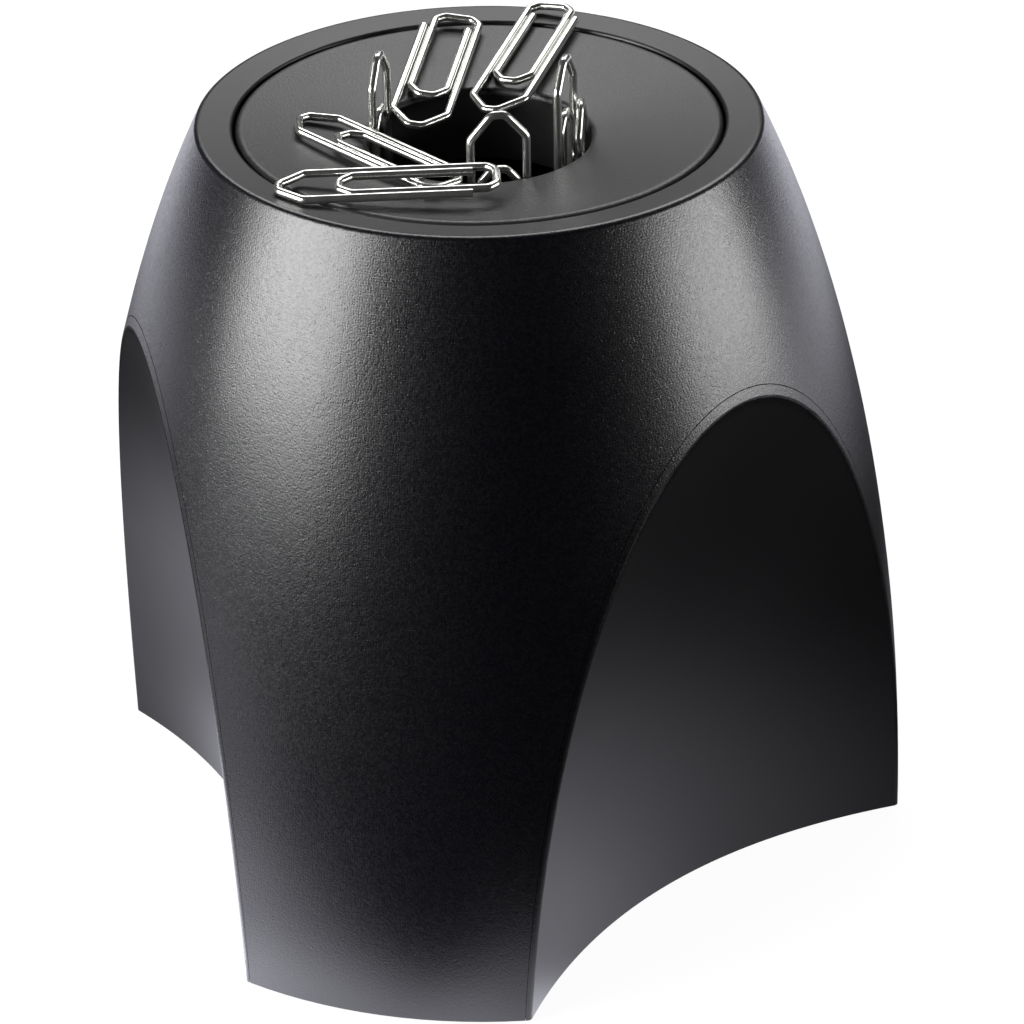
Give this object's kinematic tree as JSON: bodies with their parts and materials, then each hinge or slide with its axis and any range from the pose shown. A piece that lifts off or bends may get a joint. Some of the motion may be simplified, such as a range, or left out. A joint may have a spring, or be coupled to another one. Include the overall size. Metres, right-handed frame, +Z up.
{
  "type": "magnetic paper clip holder",
  "caption": "Three-legged black dome with hollow side panels, an inner cup and a lift-off dished lid whose ring magnet holds wire paper clips round a round throat.",
  "frame": {"origin": "on the dome's axis, at the table the feet stand on", "axes": "+Z up, -Y towards the front leg, +X to the right seen from the front"},
  "size_m": [0.101, 0.0934, 0.103],
  "materials": {
    "textured_shell": "black, fine spark-eroded grain",
    "satin_cup": "black, smooth satin",
    "matte_lid": "black, fine matte",
    "foot_rubber": "soft matte",
    "ferrite": "ground ferrite",
    "clip_wire": "bright drawn wire"
  },
  "bodies": {
    "holder": {"body_shell": "textured_shell", "clip_cup": "satin_cup", "base_plate": "satin_cup", "foot_front": "foot_rubber", "foot_right": "foot_rubber", "foot_left": "foot_rubber"},
    "lid_unit": {"lid": "matte_lid", "ring_magnet": "ferrite", "magnet_retainer": "satin_cup"},
    "wall_left": {"clip_wall_left": "clip_wire"},
    "wall_right": {"clip_wall_right": "clip_wire"},
    "wall_right_low": {"clip_wall_right_low": "clip_wire"},
    "wall_front": {"clip_wall_front": "clip_wire"},
    "back_left": {"clip_back_left": "clip_wire"},
    "back_right": {"clip_back_right": "clip_wire"},
    "front_under": {"clip_front_under": "clip_wire"},
    "front_over": {"clip_front_over": "clip_wire"}
  },
  "joints": [
    {"name": "lid_lift", "type": "slide", "parent": "holder", "child": "lid_unit", "axis": [0, 0, 1], "range_m": [0, 0.04]},
    {"name": "wall_left_pull", "type": "slide", "parent": "lid_unit", "child": "wall_left", "axis": [0, 0, 1], "range_m": [0, 0.04]},
    {"name": "wall_right_pull", "type": "slide", "parent": "lid_unit", "child": "wall_right", "axis": [0, 0, 1], "range_m": [0, 0.04]},
    {"name": "wall_right_low_pull", "type": "slide", "parent": "lid_unit", "child": "wall_right_low", "axis": [0, 0, 1], "range_m": [0, 0.04]},
    {"name": "wall_front_pull", "type": "slide", "parent": "lid_unit", "child": "wall_front", "axis": [0, 0, 1], "range_m": [0, 0.04]},
    {"name": "back_left_pull", "type": "slide", "parent": "lid_unit", "child": "back_left", "axis": [0, 0, 1], "range_m": [0, 0.04]},
    {"name": "back_right_pull", "type": "slide", "parent": "lid_unit", "child": "back_right", "axis": [0, 0, 1], "range_m": [0, 0.04]},
    {"name": "front_under_pull", "type": "slide", "parent": "lid_unit", "child": "front_under", "axis": [0, 0, 1], "range_m": [0, 0.04]},
    {"name": "front_over_pull", "type": "slide", "parent": "front_under", "child": "front_over", "axis": [0, 0, 1], "range_m": [0, 0.04]}
  ]
}
